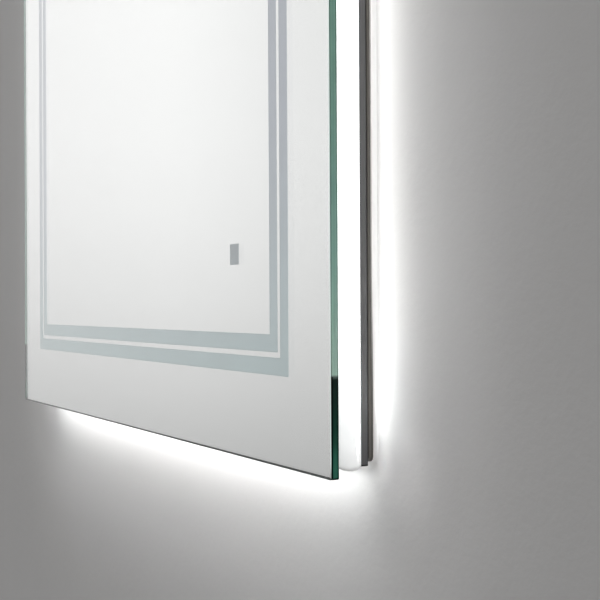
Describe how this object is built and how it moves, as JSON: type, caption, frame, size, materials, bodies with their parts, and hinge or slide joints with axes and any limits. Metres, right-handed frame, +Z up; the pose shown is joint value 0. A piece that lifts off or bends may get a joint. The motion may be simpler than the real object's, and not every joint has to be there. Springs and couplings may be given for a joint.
{
  "type": "lighted bathroom mirror",
  "caption": "Rectangular frameless lighted bathroom mirror: etched double band, edge light behind an opal diffuser on all sides, closed back pan hung on a wall rail.",
  "frame": {"origin": "midpoint between the wall rail's two screw holes, on the wall plane; the pane's top edge is 120 mm above it", "axes": "+X to the right as one faces the mirror, +Y into the wall (the mirror stands towards -Y), +Z up"},
  "size_m": [0.6, 0.03, 0.8],
  "materials": {
    "clear_float_glass": "polished flat edge with a fine arris, green through its thickness",
    "silvering": "front-viewed silver layer with grey backing paint",
    "etched_window": "frosted, translucent",
    "foam_tape": "closed-cell foam",
    "anodised_frame": "satin grey anodised extrusion",
    "opal_diffuser": "opal, satin, lit from behind",
    "cast_key": "as cast",
    "strip_board": "white flexible board",
    "led_package": "phosphor-filled",
    "painted_pan": "fine-textured powder coat",
    "black_gasket": "foam",
    "zinc_screw": "zinc plated",
    "galvanised_rail": "galvanised sheet",
    "rivet_aluminium": "plain",
    "black_rubber": "moulded",
    "white_reflector": "matt white",
    "box_white": "moulded",
    "box_black": "moulded",
    "terminal_moulding": "moulded",
    "brass_clamp": "plain",
    "driver_shell": "moulded",
    "green_board": "solder-masked",
    "component_body": "moulded and sleeved",
    "heating_film": "printed polyester film",
    "sensor_case": "moulded",
    "copper_electrode": "plain",
    "white_lead": "sheathed",
    "grey_lead": "sheathed",
    "earth_sleeve": "plain insulated conductor",
    "clip_nylon": "moulded"
  },
  "bodies": {
    "wall_mount": {"wall_rail": "galvanised_rail", "rail_hooks": "galvanised_rail"},
    "mirror": {"back_panel": "painted_pan", "band_diffuser_film": "etched_window", "bonding_tape": "foam_tape", "box_lid_screws": "zinc_screw", "cable_grommet": "black_rubber", "corner_keys": "cast_key", "demister_lead": "white_lead", "demister_pad": "heating_film", "demister_terminal": "box_black", "diffuser_bottom": "opal_diffuser", "diffuser_left": "opal_diffuser", "diffuser_right": "opal_diffuser", "diffuser_top": "opal_diffuser", "driver_base": "box_black", "driver_board": "green_board", "driver_components": "component_body", "driver_cover": "driver_shell", "driver_supply_lead": "white_lead", "earth_lead": "earth_sleeve", "earth_nuts": "zinc_screw", "earth_stud": "zinc_screw", "earth_terminal": "brass_clamp", "electrics_screws": "zinc_screw", "frame_bottom": "anodised_frame", "frame_left": "anodised_frame", "frame_right": "anodised_frame", "frame_top": "anodised_frame", "front_light_lead": "grey_lead", "front_light_leds": "led_package", "front_light_strip": "strip_board", "hanger_hooks": "galvanised_rail", "hanger_rivets": "rivet_aluminium", "lead_clips": "clip_nylon", "mirror_glass": "clear_float_glass", "mirror_silvering": "silvering", "panel_gasket": "black_gasket", "panel_screws": "zinc_screw", "reflector_sheet": "white_reflector", "sensor_feed_lead": "grey_lead", "side_light_lead": "grey_lead", "side_light_leds": "led_package", "side_light_strip": "strip_board", "terminal_block": "terminal_moulding", "terminal_box": "box_white", "terminal_box_lid": "box_white", "terminal_clamp_screws": "zinc_screw", "terminal_inserts": "brass_clamp", "touch_electrode": "copper_electrode", "touch_sensor_board": "green_board", "touch_sensor_case": "sensor_case", "wall_bumpers": "black_rubber"}
  },
  "joints": [
    {"name": "lift_off", "type": "slide", "parent": "wall_mount", "child": "mirror", "axis": [0, 0, 1], "range_m": [0, 0.013]}
  ]
}
